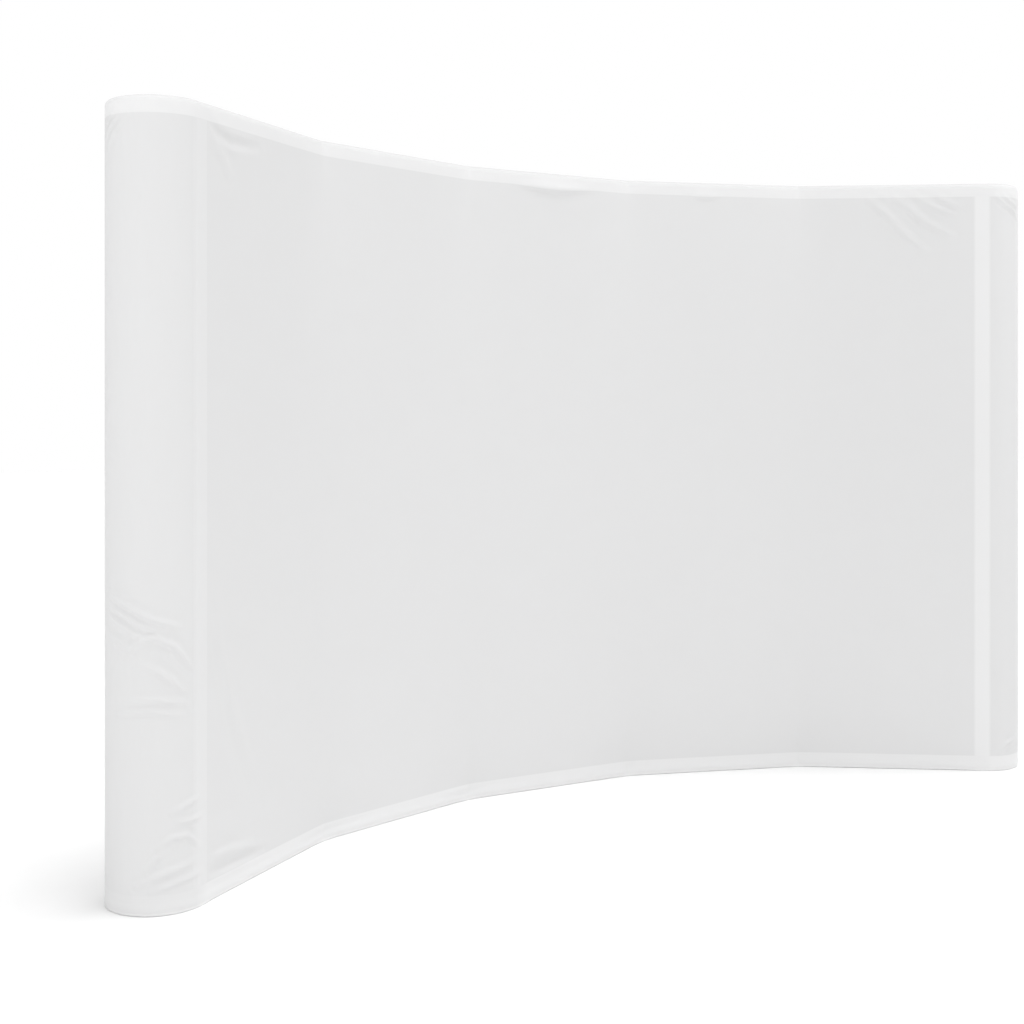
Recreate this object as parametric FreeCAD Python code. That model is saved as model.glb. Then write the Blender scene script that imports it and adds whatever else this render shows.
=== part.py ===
import FreeCAD, Part
import math
import os

from FreeCAD import Placement, Rotation, Vector

# Curved banner wall: one stretch-cloth banner on a knock-down frame of aluminium tubes.
# X runs along the wall, the hollow front faces -Y and Z is up. The origin is on the floor,
# at the middle of the wall's outline. All sizes are in millimetres.

# The wall as a whole
wall_height = 2300.0
bay_count = 5
bay_length = 712.0
corner_turn_deg = 18.4
floor_gap = 6.0

# Aluminium tubes
tube_diameter = 32.0
tube_wall = 1.5
end_bend_radius = 127.0

# Nylon elbows and corner fittings
fitting_stub = 20.0
neck_step = 0.8
neck_height = 38.0
spigot_clearance = 0.2
spigot_length = 60.0
bend_spigot_length = 40.0
spigot_lead = 4.0
spigot_taper = 1.5

# Levelling feet
foot_diameter = 34.0
foot_height = 5.0
foot_bevel = 1.2
stem_diameter = 10.0
stem_clearance = 0.1
stem_bore_depth = 32.0
stem_hole_clearance = 2.0

# Ferrules that join the two halves of an upright
ferrule_length = 160.0
ferrule_wall = 2.3
rivet_diameter = 4.8
rivet_head_diameter = 8.0
rivet_clearance = 0.05
rivet_drop = 45.0

# Spring buttons that lock the two halves
button_diameter = 9.0
button_clearance = 0.1
button_show = 3.5
button_rise = 35.0
button_access = 12.0
leaf_width = 10.0
leaf_length = 46.0
leaf_thickness = 1.0
leaf_clearance = 0.6

# Stretch-cloth banner
cloth_thickness = 0.8
cloth_clearance = 0.3
notch_clearance = 0.5
sleeve_width = 58.0
sleeve_gap = 3.0

# Zips at the two back edges
chain_width = 6.0
chain_thickness = 2.2
chain_margin = 60.0
stop_width = 9.0
stop_height = 6.0
slider_clearance = 0.3
slider_lip = 2.2
slider_roof = 1.6
slider_length = 15.0
lug_width = 3.0
lug_size = 5.0
pin_diameter = 1.6
pin_clearance = 0.1
cheek_width = 1.5
cheek_clearance = 0.3
tab_length = 30.0
tab_width = 8.0
tab_thickness = 1.5
tab_drop = 5.5

# Cuts run past the faces that they open
overrun = 5.0

# Sizes that follow from those above
tube_radius = tube_diameter / 2
bore_radius = tube_radius - tube_wall
spigot_radius = bore_radius - spigot_clearance
neck_radius = tube_radius - neck_step
pocket_inner = tube_radius + cloth_clearance
pocket_outer = pocket_inner + cloth_thickness
pocket_tuck = math.sqrt(pocket_outer ** 2 - pocket_inner ** 2)
bottom_z = floor_gap + pocket_outer
top_z = wall_height - pocket_outer
joint_z = (bottom_z + top_z) / 2
button_z = joint_z + button_rise
stem_radius = stem_diameter / 2
foot_bore_top = bottom_z - tube_radius + stem_bore_depth
ferrule_inner = spigot_radius - ferrule_wall
bend_spigot_deg = math.degrees(bend_spigot_length / end_bend_radius)

UP = Vector(0, 0, 1)
DOWN = Vector(0, 0, -1)
ALONG = Vector(1, 0, 0)
BACK = Vector(0, 1, 0)
HALF_TURN_DEG = 180.0


def turned(direction, degrees):
    """A direction turned about the vertical."""
    return Rotation(UP, degrees).multVec(direction)


# Plan of the rails: straight bays with the same turn at every corner
headings = [corner_turn_deg * ((bay_count - 1) / 2 - i) for i in range(bay_count)]
corners = [Vector(0, 0, 0)]
for bay_heading in headings:
    corners.append(corners[-1] + turned(ALONG, bay_heading) * bay_length)

# The outline reaches from the front of the round ends to the back of the middle bay
bend_centre = corners[0] + turned(Vector(-fitting_stub, end_bend_radius, 0), headings[0])
front_reach = bend_centre.y - end_bend_radius - pocket_outer
button_reach = (tube_radius + button_show) * math.cos(math.radians(corner_turn_deg / 2))
back_reach = max(point.y for point in corners) + max(pocket_outer, button_reach)
origin_shift = Vector(-corners[-1].x / 2, -(front_reach + back_reach) / 2, 0)
corners = [point + origin_shift for point in corners]

# A fitting at a corner faces midway between its two bays
corner_headings = [headings[0]]
corner_headings += [(a + b) / 2 for a, b in zip(headings[:-1], headings[1:])]
corner_headings += [headings[-1]]

# Places along the wall: bays, corners, and the left end with its half-round bend
bay_places = [Placement(p, Rotation(UP, h)) for p, h in zip(corners[:-1], headings)]
corner_places = [Placement(p, Rotation(UP, h)) for p, h in zip(corners, corner_headings)]
left_end = bay_places[0]
bend_axis = Vector(-fitting_stub, end_bend_radius, 0)
back_upright = Vector(0, 2 * end_bend_radius, 0)


def placed(shape, place):
    """A copy of a shape moved from its own place to a place on the wall."""
    copy = shape.copy()
    copy.Placement = place.multiply(shape.Placement)
    return copy


def mirrored(shape):
    """The same piece at the right end of the wall."""
    return shape.mirror(Vector(0, 0, 0), ALONG)


def both_ends(shape):
    """A piece made at the left end, and its twin at the right end."""
    left = placed(shape, left_end)
    return [left, mirrored(left)]


def at_height(shape, height):
    """A copy of a shape lifted by a height."""
    copy = shape.copy()
    copy.translate(UP * height)
    return copy


def fused(shapes):
    """One solid out of shapes that meet."""
    return shapes[0].fuse(shapes[1:]).removeSplitter()


def ring(outer, inner, start, height):
    """A vertical ring or tube."""
    hole = Part.makeCylinder(inner, height + 2 * overrun, start - UP * overrun, UP)
    return Part.makeCylinder(outer, height, start, UP).cut(hole)


def disc(radius, centre, normal):
    """A round face."""
    return Part.Face(Part.Wire(Part.Circle(centre, normal, radius).toShape()))


# Rails and bends


def rail_tube():
    """Straight tube of one bay, between the stubs of two fittings."""
    length = bay_length - 2 * fitting_stub
    start = Vector(fitting_stub, 0, 0)
    bore = Part.makeCylinder(bore_radius, length + 2 * overrun, start - ALONG * overrun, ALONG)
    return Part.makeCylinder(tube_radius, length, start, ALONG).cut(bore)


def end_bend():
    """Half-round tube that carries the cloth round the left end."""
    start = Vector(-fitting_stub, 0, 0)
    outer = disc(tube_radius, start, ALONG).revolve(bend_axis, UP, -HALF_TURN_DEG)
    return outer.cut(disc(bore_radius, start, ALONG).revolve(bend_axis, UP, -HALF_TURN_DEG))


# Nylon fittings, each made with its rail line at height zero


def spigot(start, direction):
    """Round spigot with a tapered lead-in at its tip."""
    straight = spigot_length - spigot_lead
    shank = Part.makeCylinder(spigot_radius, straight, start, direction)
    tip_radius = spigot_radius - spigot_taper
    tip = Part.makeCone(spigot_radius, tip_radius, spigot_lead, start + direction * straight, direction)
    return shank.fuse(tip)


def bend_spigot(start, turn_deg):
    """Curved spigot that follows the tube of the half-round end."""
    return disc(spigot_radius, start, ALONG).revolve(bend_axis, UP, turn_deg)


def neck(point, side):
    """Neck and spigot that hold an upright."""
    shoulder = point + side * neck_height
    return [Part.makeCylinder(neck_radius, neck_height, point, side), spigot(shoulder, side)]


def foot_bore(point):
    """Blind hole for the stem of a levelling foot, measured from the rail line."""
    depth = stem_bore_depth + overrun
    start = point - UP * (tube_radius + overrun)
    return Part.makeCylinder(stem_radius + stem_clearance, depth, start, UP)


def half_elbow(side):
    """One arm of an elbow, cut at the plane midway between the two bays."""
    direction = turned(ALONG * side, -side * corner_turn_deg / 2)
    arm = Part.makeCylinder(tube_radius, fitting_stub + tube_diameter, direction * -tube_diameter, direction)
    reach = 2 * tube_diameter
    far_half = Part.makeBox(reach, 2 * reach, 2 * reach, Vector(-reach if side > 0 else 0, -reach, -reach))
    return [arm.cut(far_half), spigot(direction * fitting_stub, direction)]


def finished_fitting(pieces, side, upright):
    """A fitting with its neck up or down, and a bore for the foot where it stands on the floor."""
    body = fused(pieces + neck(upright, side))
    return body.cut(foot_bore(upright)) if side.z > 0 else body


def elbow(side):
    """Three-way elbow between two bays."""
    return finished_fitting(half_elbow(1) + half_elbow(-1), side, Vector(0, 0, 0))


def front_corner(side):
    """Three-way fitting between the first bay and the half-round end."""
    start = Vector(-fitting_stub, 0, 0)
    arm = Part.makeCylinder(tube_radius, 2 * fitting_stub, start, ALONG)
    pieces = [arm, spigot(Vector(fitting_stub, 0, 0), ALONG), bend_spigot(start, -bend_spigot_deg)]
    return finished_fitting(pieces, side, Vector(0, 0, 0))


def back_corner(side):
    """Fitting at the far end of the half-round tube."""
    start = back_upright - ALONG * fitting_stub
    arm = Part.makeCylinder(tube_radius, fitting_stub + tube_radius, start, ALONG)
    return finished_fitting([arm, bend_spigot(start, bend_spigot_deg)], side, back_upright)


# Uprights, made on the Z axis with the button towards +Y


def ferrule():
    """Sleeve inside the two halves of an upright, with holes for its rivets and button."""
    body = ring(spigot_radius, ferrule_inner, UP * (joint_z - ferrule_length / 2), ferrule_length)
    return body.cut([button_hole()] + rivet_shapes(rivet_clearance))


def button_hole():
    """Cutter for the hole of a spring button, through one wall."""
    radius = button_diameter / 2 + button_clearance
    return Part.makeCylinder(radius, tube_diameter, UP * button_z, BACK)


def rivet_shapes(clearance):
    """Two flush rivets through the lower tube and the ferrule, one from each side."""
    height = UP * (joint_z - rivet_drop)
    shank = rivet_diameter / 2 + clearance
    head = rivet_head_diameter / 2 + clearance
    outside = Part.makeCylinder(tube_radius, ferrule_length, height - UP * ferrule_length / 2, UP)
    shapes = []
    for side in (ALONG, -ALONG):
        inner_end = height + side * (ferrule_inner - clearance)
        stem = Part.makeCylinder(shank, tube_radius - ferrule_inner + clearance, inner_end, side)
        sink = Part.makeCone(shank, head, tube_wall, height + side * bore_radius, side)
        shapes.append(stem.fuse(sink).removeSplitter().common(outside))
    return shapes


def lower_upright():
    """Lower half of an upright, riveted to the ferrule."""
    start = bottom_z + neck_height
    return ring(tube_radius, bore_radius, UP * start, joint_z - start).cut(rivet_shapes(rivet_clearance))


def upper_upright():
    """Upper half of an upright, locked to the ferrule by the button."""
    length = top_z - neck_height - joint_z
    return ring(tube_radius, bore_radius, UP * joint_z, length).cut(button_hole())


def leaf(front):
    """Flat leg of the button's spring, with its outer face at a distance from the tube's axis."""
    foot = button_z - leaf_length / 2
    corner = Vector(-leaf_width / 2, front - leaf_thickness, foot)
    return Part.makeBox(leaf_width, leaf_thickness, leaf_length, corner)


def button():
    """Domed button with the spring leg that it sits on."""
    leg_face = math.sqrt((ferrule_inner - leaf_clearance) ** 2 - (leaf_width / 2) ** 2)
    radius = button_diameter / 2
    tip = tube_radius + button_show
    height = UP * button_z
    dome_start = tip - radius / 2
    stud = Part.makeCylinder(radius, dome_start - leg_face, height + BACK * leg_face, BACK)
    dome = Part.makeCone(radius, radius / 2, tip - dome_start, height + BACK * dome_start, BACK)
    return fused([leaf(leg_face), stud, dome])


def spring_seat():
    """Fixed leg of the button's spring, bedded on the far side of the ferrule."""
    face = math.sqrt((ferrule_inner - leaf_clearance) ** 2 - (leaf_width / 2) ** 2)
    bed = Part.makeCylinder(ferrule_inner, leaf_length, UP * (button_z - leaf_length / 2), UP)
    corner = Vector(-leaf_width / 2, -ferrule_inner, button_z - leaf_length / 2)
    return bed.common(Part.makeBox(leaf_width, ferrule_inner - face + leaf_thickness, leaf_length, corner))


def levelling_foot():
    """Round pad on a stem that goes up into a bottom fitting."""
    radius = foot_diameter / 2
    rim = foot_height - foot_bevel
    pad = Part.makeCylinder(radius, rim, Vector(0, 0, 0), UP)
    bevel = Part.makeCone(radius, radius - foot_bevel, foot_bevel, UP * rim, UP)
    stem = Part.makeCylinder(stem_radius, foot_bore_top - rim, UP * rim, UP)
    return fused([pad, bevel, stem])


# Uprights stand at every corner of the front and at the end of each half-round bend
back_place = left_end.multiply(Placement(back_upright, Rotation(UP, HALF_TURN_DEG)))
upright_names = ["front_upright_%d" % (i + 1) for i in range(len(corners))]
upright_names += ["back_upright_left", "back_upright_right"]


def at_uprights(shape):
    """Copies of an upright's piece at all the uprights, in the order of their names."""
    copies = [placed(shape, place) for place in corner_places]
    back = placed(shape, back_place)
    return copies + [back, mirrored(back)]


# Banner


def banner_section(x):
    """Section of the banner: a front sheet with a closed pocket round each rail."""
    high_front = Vector(x, -pocket_outer, top_z)
    high_inside = Vector(x, -pocket_inner, top_z - pocket_tuck)
    low_front = Vector(x, -pocket_outer, bottom_z)
    low_inside = Vector(x, -pocket_inner, bottom_z + pocket_tuck)
    edges = [
        Part.LineSegment(low_front, high_front).toShape(),
        Part.Arc(high_front, Vector(x, pocket_outer, top_z), high_inside).toShape(),
        Part.LineSegment(high_inside, low_inside).toShape(),
        Part.Arc(low_inside, Vector(x, pocket_outer, bottom_z), low_front).toShape(),
    ]
    holes = [Part.Circle(Vector(x, 0, z), ALONG, pocket_inner).toShape() for z in (top_z, bottom_z)]
    wires = [Part.Wire(edges)] + [Part.Wire(hole) for hole in holes]
    return Part.makeFace(wires, "Part::FaceMakerBullseye")


def corner_waste(x, turn_deg, side):
    """Half space past the plane of a corner, seen from the bay that ends there."""
    reach = 2 * tube_diameter
    box = Part.makeBox(reach, 2 * reach, wall_height + 2 * overrun, Vector(-reach if side < 0 else 0, -reach, -overrun))
    box.Placement = Placement(Vector(x, 0, 0), Rotation(UP, turn_deg)).multiply(box.Placement)
    return box


def banner_bay(index):
    """The banner over one bay, mitred at the corners and square at the wall's ends."""
    first = index == 0
    last = index == bay_count - 1
    start = -fitting_stub if first else -tube_diameter
    end = bay_length + (fitting_stub if last else tube_diameter)
    cloth = banner_section(start).extrude(ALONG * (end - start))
    if not first:
        cloth = cloth.cut(corner_waste(0, corner_turn_deg / 2, -1))
    if not last:
        cloth = cloth.cut(corner_waste(bay_length, -corner_turn_deg / 2, 1))
    return placed(cloth, bay_places[index])


def banner_end():
    """The banner round the left end, with a hem round the back upright."""
    section = banner_section(-fitting_stub)
    round_end = section.revolve(bend_axis, UP, -HALF_TURN_DEG)
    far_section = section.copy()
    far_section.rotate(bend_axis, UP, HALF_TURN_DEG)
    tail = far_section.extrude(ALONG * (fitting_stub + pocket_inner))
    hem_start = bottom_z + pocket_outer + sleeve_gap
    hem_height = top_z - pocket_outer - sleeve_gap - hem_start
    edge_start = back_upright + Vector(pocket_tuck, 0, hem_start)
    edge = Part.makeBox(pocket_outer + overrun, pocket_outer + overrun, hem_height, edge_start)
    hem = ring(pocket_outer, pocket_inner, back_upright + UP * hem_start, hem_height)
    access = Part.makeCylinder(button_access, tube_diameter, back_upright + UP * button_z, -BACK)
    return fused([round_end, tail.cut(edge), hem.cut(access)])


def banner():
    """The whole banner, open round every upright's neck and every foot's stem."""
    cloth = [banner_bay(i) for i in range(bay_count)] + both_ends(banner_end())
    notch = neck_radius + notch_clearance
    opening = pocket_outer + overrun
    low = Part.makeCylinder(notch, opening, UP * bottom_z, UP)
    high = Part.makeCylinder(notch, opening, UP * top_z, DOWN)
    stem = Part.makeCylinder(stem_radius + stem_hole_clearance, opening, UP * bottom_z, DOWN)
    return fused(cloth).cut(at_uprights(low) + at_uprights(high) + at_uprights(stem))


def front_layer(inner, outer, width):
    """Upright slab in front of the left corner, flat over the bay and curved over the bend."""
    start = bottom_z + pocket_outer + sleeve_gap
    height = top_z - pocket_outer - sleeve_gap - start
    flat = Part.makeBox(width, outer - inner, height, Vector(-fitting_stub, -outer, start))
    face = Part.Face(Part.makePolygon([
        Vector(-fitting_stub, -outer, start),
        Vector(-fitting_stub, -inner, start),
        Vector(-fitting_stub, -inner, start + height),
        Vector(-fitting_stub, -outer, start + height),
        Vector(-fitting_stub, -outer, start),
    ]))
    sweep_deg = math.degrees(width / (end_bend_radius + outer))
    return fused([flat, face.revolve(bend_axis, UP, -sweep_deg)])


def corner_sleeve():
    """Cloth sleeve sewn to the back of the banner, round the left front upright."""
    start = bottom_z + pocket_outer + sleeve_gap
    height = top_z - pocket_outer - sleeve_gap - start
    half = sleeve_width / 2
    round_back = Part.makeCylinder(pocket_outer, height, UP * start, UP)
    legs = Part.makeBox(2 * pocket_outer, pocket_outer, height, Vector(-pocket_outer, -pocket_outer, start))
    flange = front_layer(pocket_inner - cloth_thickness, pocket_inner, sleeve_width)
    window = Part.makeBox(sleeve_width, tube_diameter, height, Vector(-half, -tube_diameter, start))
    room = Part.makeCylinder(pocket_inner, height + 2 * overrun, UP * (start - overrun), UP)
    well = Part.makeBox(2 * pocket_inner, tube_diameter, height + 2 * overrun,
                        Vector(-pocket_inner, -tube_diameter, start - overrun))
    access = Part.makeCylinder(button_access, tube_diameter, UP * button_z, BACK)
    body = fused([round_back, legs, flange.common(window)])
    in_front = front_layer(pocket_inner, pocket_inner + tube_diameter, sleeve_width)
    return body.cut([room, well, access, in_front])


# Zip at a back edge, made round the upright's axis with the chain towards +X


def zip_chain():
    """Closed zip along the hem, with a stop at its foot."""
    start = bottom_z + chain_margin
    height = top_z - chain_margin - start
    hem = Part.makeCylinder(pocket_outer, wall_height, Vector(0, 0, 0), UP)
    chain = Part.makeBox(pocket_outer + chain_thickness, chain_width, height, Vector(0, -chain_width / 2, start))
    stop = Part.makeBox(pocket_outer + chain_thickness, stop_width, stop_height, Vector(0, -stop_width / 2, start))
    return fused([chain, stop]).cut(hem)


slider_foot = bottom_z + chain_margin + stop_height
roof_inner = pocket_outer + chain_thickness + slider_clearance
roof_outer = roof_inner + slider_roof
pin_x = roof_outer + lug_size / 2
pin_z = slider_foot + slider_length / 2


def zip_slider():
    """Slider that straddles the chain, with a lug for the pull tab."""
    width = chain_width + 2 * (slider_clearance + slider_lip)
    inner = pocket_outer + slider_clearance
    block = Part.makeBox(roof_outer - inner, width, slider_length, Vector(inner, -width / 2, slider_foot))
    channel_width = chain_width + 2 * slider_clearance
    channel = Part.makeBox(roof_inner - inner + overrun, channel_width, slider_length + 2 * overrun,
                           Vector(inner - overrun, -channel_width / 2, slider_foot - overrun))
    lug = Part.makeBox(lug_size, lug_width, lug_size, Vector(roof_outer, -lug_width / 2, pin_z - lug_size / 2))
    hole = Part.makeCylinder(pin_diameter / 2 + pin_clearance, 2 * overrun, Vector(pin_x, -overrun, pin_z), BACK)
    return fused([block.cut(channel), lug]).cut(hole)


def pull_tab():
    """Tab that hangs from the slider's lug on a pin held between two cheeks."""
    inside = lug_width / 2 + cheek_clearance
    span = 2 * (inside + cheek_width)
    pin = Part.makeCylinder(pin_diameter / 2, span, Vector(pin_x, -span / 2, pin_z), BACK)
    half = tab_thickness / 2
    tab_top = pin_z - tab_drop
    cheeks = [
        Part.makeBox(tab_thickness, cheek_width, tab_drop + pin_diameter, Vector(pin_x - half, y, tab_top))
        for y in (inside, -inside - cheek_width)
    ]
    plate = Part.makeBox(tab_thickness, tab_width, tab_length, Vector(pin_x - half, -tab_width / 2, tab_top - tab_length))
    return fused([pin, plate] + cheeks)


def at_back_edges(shape):
    """A piece of the zip at the left back edge, and its twin at the right."""
    return both_ends(placed(shape, Placement(back_upright, Rotation())))


# Every piece by name
nodes = {}
for name, height in (("bottom_rail", bottom_z), ("top_rail", top_z)):
    for i, place in enumerate(bay_places):
        nodes["%s_%d" % (name, i + 1)] = [placed(at_height(rail_tube(), height), place)]
for level, height, side in (("bottom", bottom_z, UP), ("top", top_z, DOWN)):
    nodes[level + "_end_bends"] = both_ends(at_height(end_bend(), height))
    nodes[level + "_elbows"] = [placed(at_height(elbow(side), height), place) for place in corner_places[1:-1]]
    nodes[level + "_front_corners"] = both_ends(at_height(front_corner(side), height))
    nodes[level + "_back_corners"] = both_ends(at_height(back_corner(side), height))
for half_name, shape in (("lower", lower_upright()), ("upper", upper_upright()), ("button", button())):
    for name, copy in zip(upright_names, at_uprights(shape)):
        nodes["%s_%s" % (name, half_name)] = [copy]
for name, copy in zip(upright_names, at_uprights(levelling_foot())):
    nodes[name.replace("upright", "foot")] = [copy]
nodes["upright_ferrules"] = at_uprights(ferrule())
nodes["ferrule_rivets"] = [copy for rivet in rivet_shapes(0) for copy in at_uprights(rivet)]
nodes["button_spring_seats"] = at_uprights(spring_seat())
nodes["banner"] = [banner()]
nodes["corner_sleeves"] = both_ends(corner_sleeve())
nodes["edge_zips"] = at_back_edges(zip_chain())
for name, shape in (("zip_slider", zip_slider()), ("zip_pull_tab", pull_tab())):
    for side_name, copy in zip(("left", "right"), at_back_edges(shape)):
        nodes["%s_%s" % (name, side_name)] = [copy]

# Write one file for each piece
os.makedirs("parts", exist_ok=True)
for name, shapes in nodes.items():
    solids = [solid for shape in shapes for solid in shape.Solids]
    whole = solids[0] if len(solids) == 1 else Part.makeCompound(solids)
    whole.exportStep("parts/%s.step" % name)
    print(name, len(solids), "valid" if whole.isValid() else "NOT VALID", round(whole.Volume))
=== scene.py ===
import math

import bpy
import numpy as np
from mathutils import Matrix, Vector


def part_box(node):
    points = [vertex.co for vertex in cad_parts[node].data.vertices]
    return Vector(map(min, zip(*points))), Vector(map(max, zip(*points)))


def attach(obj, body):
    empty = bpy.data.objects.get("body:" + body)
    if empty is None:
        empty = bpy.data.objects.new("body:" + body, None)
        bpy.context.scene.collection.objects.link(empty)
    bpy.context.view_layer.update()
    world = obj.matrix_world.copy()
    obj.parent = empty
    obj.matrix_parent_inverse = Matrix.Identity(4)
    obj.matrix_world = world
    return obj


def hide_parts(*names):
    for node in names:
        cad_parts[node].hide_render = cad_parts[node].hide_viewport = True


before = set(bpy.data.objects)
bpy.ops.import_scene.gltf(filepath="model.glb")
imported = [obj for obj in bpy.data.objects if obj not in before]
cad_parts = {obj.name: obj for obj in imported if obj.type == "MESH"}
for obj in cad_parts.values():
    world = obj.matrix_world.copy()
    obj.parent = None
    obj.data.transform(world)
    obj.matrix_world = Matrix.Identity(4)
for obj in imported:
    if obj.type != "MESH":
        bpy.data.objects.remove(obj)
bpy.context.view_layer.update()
bpy.ops.object.select_all(action="DESELECT")

# Rails, bends and uprights
# Drawn aluminium tubes, cut square and satin anodised. Fine draw lines run along the tubes
# and the anodising is a little uneven.
anodised_dark = (0.60, 0.61, 0.62, 1.0)
anodised_light = (0.72, 0.73, 0.74, 1.0)
anodised_rough = (0.30, 0.46)
anodised_cloud_scale = 9.0
draw_line_pitch = 0.0022
draw_line_length = 0.25
draw_line_detail = 4.0
draw_line_share = 0.4
draw_line_relief = (0.15, 0.0003)


def node_adder(tree):
    """A helper that adds a node to a tree, with its settings and its inputs."""
    def add(kind, inputs=None, **settings):
        node = tree.nodes.new(kind)
        for key, value in settings.items():
            setattr(node, key, value)
        for key, value in (inputs or {}).items():
            if isinstance(value, bpy.types.NodeSocket):
                tree.links.new(value, node.inputs[key])
            else:
                node.inputs[key].default_value = value
        return node

    return add


def start_material(name):
    """An empty material with its shader, a helper that adds a node and one that links to the shader."""
    material = bpy.data.materials.new(name)
    material.use_nodes = True
    tree = material.node_tree
    shader = tree.nodes["Principled BSDF"]

    def link(output, target):
        tree.links.new(output, shader.inputs[target])

    return material, shader, node_adder(tree), link


def math_node(add, operation, a, b=0.0, c=0.0):
    """One step of arithmetic in a material."""
    return add("ShaderNodeMath", {0: a, 1: b, 2: c}, operation=operation).outputs["Value"]


def two_tone(add, factor, dark, light, low=0.35, high=0.65):
    """A colour that goes from dark to light as a factor goes from low to high."""
    ramp = add("ShaderNodeValToRGB", {"Fac": factor})
    ramp.color_ramp.elements[0].position = low
    ramp.color_ramp.elements[0].color = dark
    ramp.color_ramp.elements[1].position = high
    ramp.color_ramp.elements[1].color = light
    return ramp.outputs["Color"]


def noise(add, vector, scale, detail=3.0):
    """Cloudy pattern from 0 to 1."""
    return add("ShaderNodeTexNoise", {"Vector": vector, "Scale": scale, "Detail": detail}).outputs["Fac"]


def stretched(add, vector, scale):
    """Places scaled by a factor for each axis."""
    return add("ShaderNodeMapping", {"Vector": vector, "Scale": scale}).outputs["Vector"]


def between(add, value, low, high):
    """A value that goes from low to high as another goes from 0 to 1."""
    return add("ShaderNodeMapRange", {"Value": value, "To Min": low, "To Max": high}).outputs["Result"]


def bumps(add, height, strength, depth):
    """Surface directions of a fine relief."""
    node = add("ShaderNodeBump", {"Height": height, "Strength": strength, "Distance": depth})
    return node.outputs["Normal"]


def satin_aluminium(name, lines_along):
    """Anodised tube. Its draw lines run along the tube: upright, or level round every rail."""
    material, shader, add, link = start_material(name)
    place = add("ShaderNodeTexCoord").outputs["Object"]
    across, along = 1 / draw_line_pitch, 1 / draw_line_length
    scale = (across, across, along) if lines_along == "upright" else (along, along, across)
    lines = noise(add, stretched(add, place, scale), 1.0, draw_line_detail)
    clouds = math_node(add, "MULTIPLY", noise(add, place, anodised_cloud_scale), 1 - draw_line_share)
    mixed = math_node(add, "MULTIPLY_ADD", lines, draw_line_share, clouds)
    link(two_tone(add, mixed, anodised_dark, anodised_light), "Base Color")
    link(between(add, lines, *anodised_rough), "Roughness")
    link(bumps(add, lines, *draw_line_relief), "Normal")
    shader.inputs["Metallic"].default_value = 1.0
    return material


def dress(names, material):
    """Puts a finish on CAD pieces."""
    for name in names:
        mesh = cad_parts[name].data
        mesh.materials.clear()
        mesh.materials.append(material)


dress([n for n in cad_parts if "_rail_" in n or n.endswith("_end_bends")],
      satin_aluminium("rail_aluminium", "level"))
dress([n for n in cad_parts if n.endswith(("_lower", "_upper"))],
      satin_aluminium("upright_aluminium", "upright"))

# Elbows and corner fittings
# Glass-filled nylon, injection moulded in black with a fine spark-eroded grain. Their spigots are
# pushed into the tubes, and only the stubs and necks stay in sight.
nylon_dark = (0.012, 0.012, 0.013, 1.0)
nylon_light = (0.030, 0.030, 0.032, 1.0)
nylon_grain_scale = 1400.0
moulded_rough = (0.48, 0.66)
moulded_relief = (0.25, 0.0002)
flow_cloud_scale = 22.0
flow_cloud_range = (0.3, 0.7)


def moulded_plastic(name, dark, light, grain_scale):
    """Matt moulded plastic with a fine grain and faint flow clouds."""
    material, shader, add, link = start_material(name)
    place = add("ShaderNodeTexCoord").outputs["Object"]
    grain = noise(add, place, grain_scale, 2.0)
    clouds = noise(add, place, flow_cloud_scale)
    link(two_tone(add, clouds, dark, light, *flow_cloud_range), "Base Color")
    link(between(add, grain, *moulded_rough), "Roughness")
    link(bumps(add, grain, *moulded_relief), "Normal")
    return material


dress([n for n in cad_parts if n.endswith(("_elbows", "_corners"))],
      moulded_plastic("black_nylon", nylon_dark, nylon_light, nylon_grain_scale))

# Ferrules, rivets and spring buttons
# Each ferrule is a turned aluminium sleeve, riveted in the lower half of an upright. The buttons
# and their spring legs are bright spring steel, worn a little where they rub.
mill_dark = (0.50, 0.51, 0.52, 1.0)
mill_light = (0.66, 0.67, 0.68, 1.0)
steel_dark = (0.40, 0.40, 0.41, 1.0)
steel_light = (0.62, 0.62, 0.63, 1.0)
ferrule_rough = (0.32, 0.50)
rivet_rough = (0.25, 0.42)
steel_rough = (0.18, 0.34)
scratch_scale = (900.0, 900.0, 160.0)
scratch_relief = (0.12, 0.0002)
stain_scale = 70.0


def bright_metal(name, dark, light, rough):
    """Bare or plated metal with fine rubbed scratches."""
    material, shader, add, link = start_material(name)
    place = add("ShaderNodeTexCoord").outputs["Object"]
    rubbed = noise(add, stretched(add, place, scratch_scale), 1.0)
    link(two_tone(add, noise(add, place, stain_scale), dark, light), "Base Color")
    link(between(add, rubbed, *rough), "Roughness")
    link(bumps(add, rubbed, *scratch_relief), "Normal")
    shader.inputs["Metallic"].default_value = 1.0
    return material


dress(["upright_ferrules"], bright_metal("turned_aluminium", mill_dark, mill_light, ferrule_rough))
dress(["ferrule_rivets"], bright_metal("rivet_aluminium", mill_dark, mill_light, rivet_rough))
dress([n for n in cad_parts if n.endswith("_button")] + ["button_spring_seats"],
      bright_metal("spring_steel", steel_dark, steel_light, steel_rough))

# Levelling feet
# Natural white nylon pads moulded round zinc-plated threaded stems that screw up into the bottom
# fittings. The pads are scuffed grey by the floor.
pad_scuffed = (0.66, 0.66, 0.65, 1.0)
pad_white = (0.80, 0.80, 0.79, 1.0)
pad_rough = 0.6
pad_grain_scale = 900.0
pad_top = 0.0052
scuff_scale = 160.0
scuff_range = (0.45, 0.8)
zinc_dark = (0.52, 0.53, 0.54, 1.0)
zinc_light = (0.70, 0.71, 0.72, 1.0)
zinc_rough = 0.3
zinc_cloud_scale = 60.0
thread_pitch = 0.0015
foot_relief = (0.5, 0.0003)


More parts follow.
